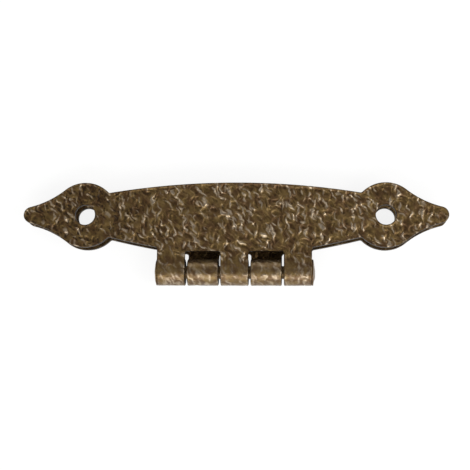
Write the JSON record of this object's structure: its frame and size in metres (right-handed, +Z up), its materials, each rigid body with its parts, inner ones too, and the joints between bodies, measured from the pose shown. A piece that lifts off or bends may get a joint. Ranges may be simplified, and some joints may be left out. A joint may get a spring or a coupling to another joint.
{
  "type": "h hinge",
  "caption": "Small H hinge of stamped antique-bronze sheet: two crowned leaves with spear-shaped ends and screw holes, rolled into interleaved knuckles on a riveted pin.",
  "frame": {"origin": "on the seat of the lower leaf (two knuckles), midway between its two screw holes, hinge folded shut and lying on that leaf", "axes": "+X along the pin and the length of the leaves, +Y from the barrel to the free edges of the leaves, +Z up through the folded leaves"},
  "size_m": [0.065, 0.0157, 0.0041],
  "materials": {
    "antique_bronze": "steel sheet with a bark-like hammered skin, antique bronze plating gone dark in the hollows and rubbed bright on the ridges",
    "pin_bronze": "steel wire with dark antique bronze plating, smooth"
  },
  "bodies": {
    "lower_leaf": {"two_knuckle_leaf": "antique_bronze"},
    "upper_leaf": {"three_knuckle_leaf": "antique_bronze", "hinge_pin": "pin_bronze"}
  },
  "joints": [
    {"name": "leaf_swing", "type": "hinge", "parent": "lower_leaf", "child": "upper_leaf", "pos_m": [0, -0.00865, 0.00205], "axis": [1, 0, 0], "range_deg": [-8, 180]}
  ]
}
